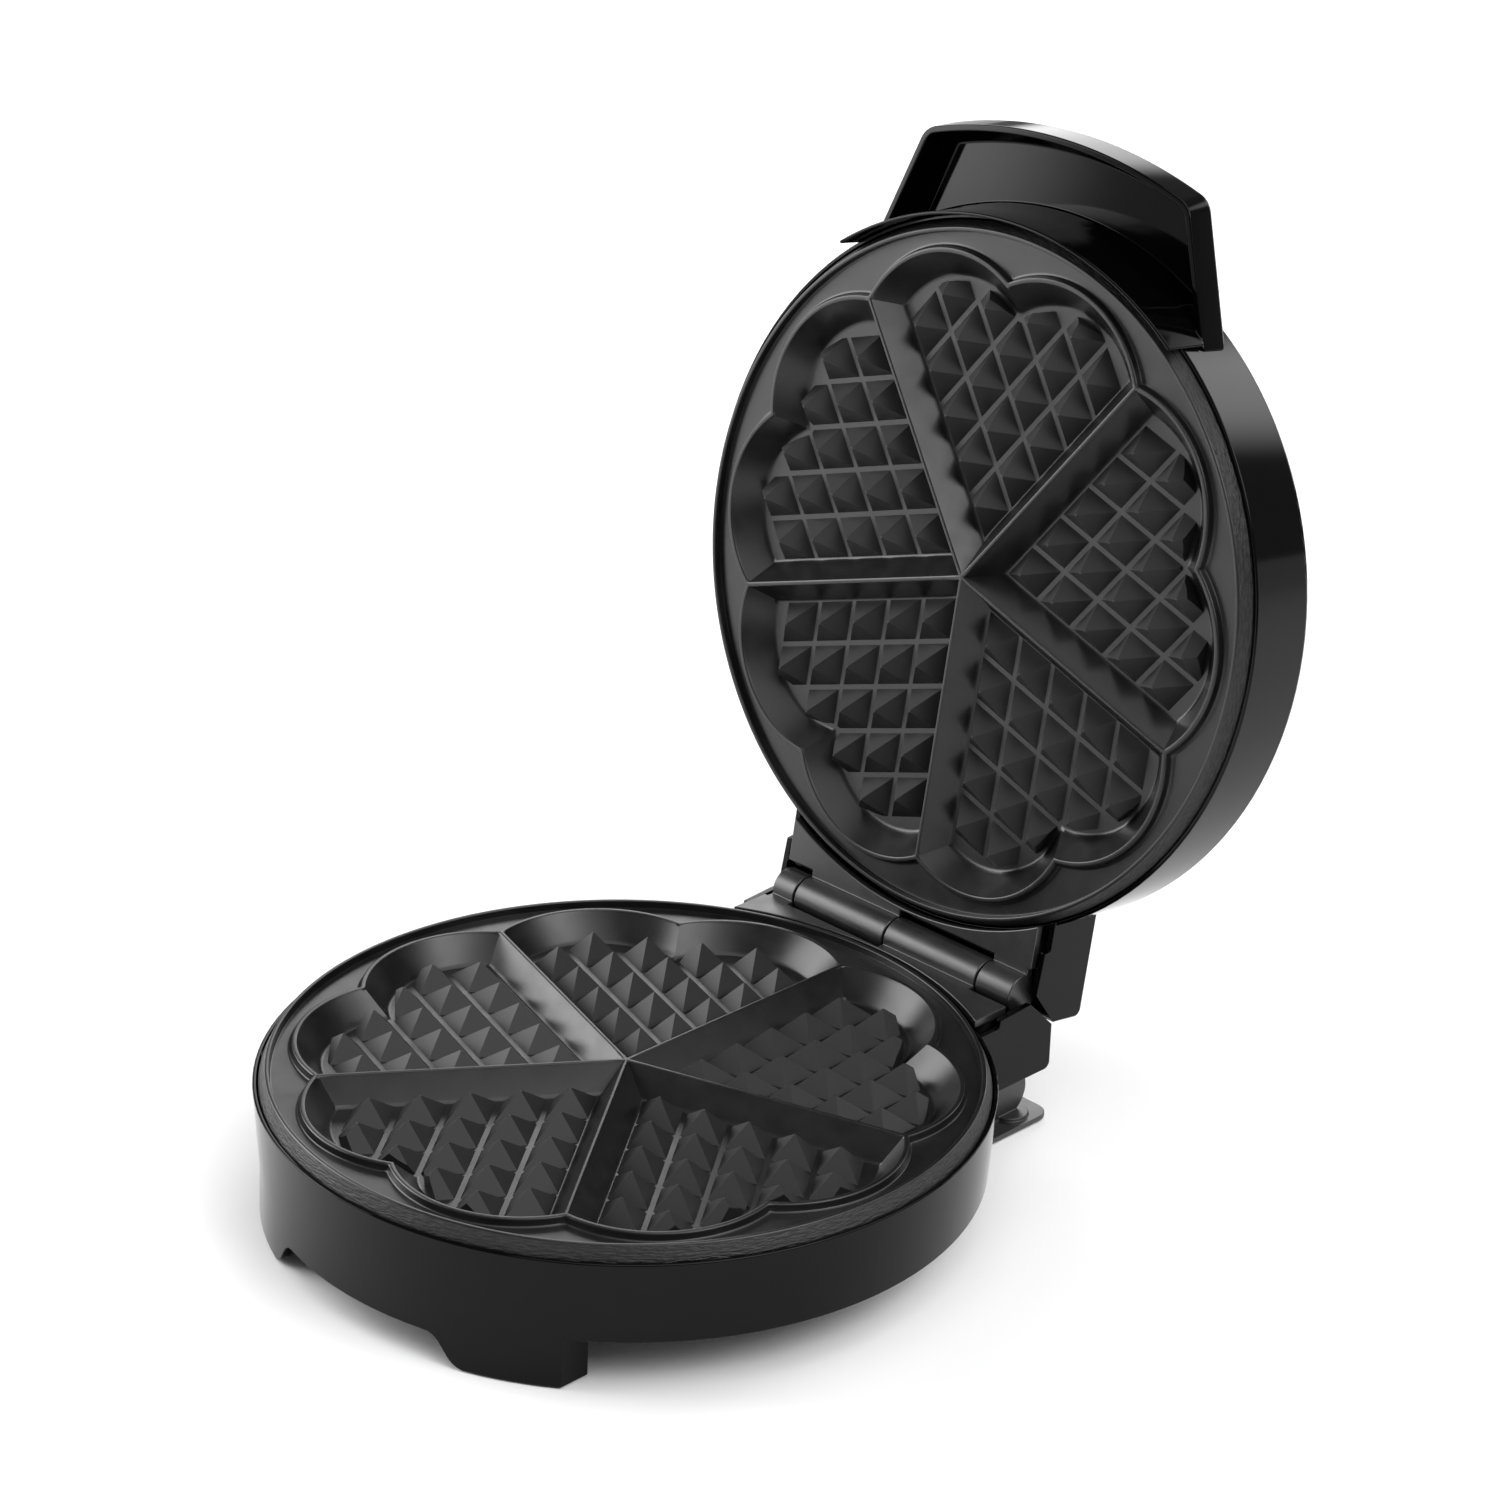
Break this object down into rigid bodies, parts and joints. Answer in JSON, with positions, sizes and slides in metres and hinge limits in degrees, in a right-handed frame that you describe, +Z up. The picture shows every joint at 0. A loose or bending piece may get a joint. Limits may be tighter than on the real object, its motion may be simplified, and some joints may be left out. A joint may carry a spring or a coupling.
{
  "type": "waffle maker",
  "caption": "Round tabletop waffle maker with heart-shaped pockets in two cast plates, a rear hinge, a scoop front handle and a cord wrap foot.",
  "frame": {"origin": "on the standing surface, under the centre of the lower cooking plate", "axes": "+Z up, +Y towards the hinge at the back, +X to the right as seen from the front; -Y is the handle side of the closed lid"},
  "size_m": [0.2072, 0.279, 0.2774],
  "materials": {
    "housing": "glossy black moulded phenolic plastic",
    "hinge_deck": "satin black plastic",
    "pan": "matte black plastic",
    "plate": "cast aluminium with a dark non-stick coating",
    "steel": "zinc plated steel",
    "heater": "oxidised stainless tube",
    "sheet": "bright rolled sheet",
    "ceramic": "white ceramic and moulded insulation",
    "rubber": "soft black rubber",
    "red_lens": "clear red moulding",
    "green_lens": "clear green moulding",
    "board": "laminate board with neon lamps",
    "lead": "silicone insulated wire"
  },
  "bodies": {
    "base": {"base_shell": "housing", "base_pan": "pan", "base_pan_screws": "steel", "cord_wrap": "housing", "cord_wrap_screws": "steel", "front_foot_pads": "rubber", "rear_foot_pads": "rubber", "lower_deck": "hinge_deck", "lower_deck_screws": "steel", "hinge_pin": "steel", "lower_plate": "plate", "lower_plate_screws": "steel", "lower_element": "heater", "lower_element_clamps": "steel", "lower_terminals": "ceramic", "lower_reflector": "sheet", "thermostat": "steel", "thermal_fuse": "ceramic", "terminal_block": "ceramic", "base_leads": "lead", "cord_inlet": "rubber"},
    "lid": {"lid_shell": "housing", "lid_cover": "housing", "power_lens": "red_lens", "ready_lens": "green_lens", "lamp_holder": "board", "front_handle": "housing", "handle_screws": "steel", "upper_deck": "hinge_deck", "upper_deck_screws": "steel", "upper_plate": "plate", "upper_plate_screws": "steel", "upper_element": "heater", "upper_element_clamps": "steel", "upper_terminals": "ceramic", "upper_reflector": "sheet"}
  },
  "joints": [
    {"name": "lid_hinge", "type": "hinge", "parent": "base", "child": "lid", "pos_m": [0, 0.1115, 0.043], "axis": [1, 0, 0], "range_deg": [0, 99]}
  ]
}
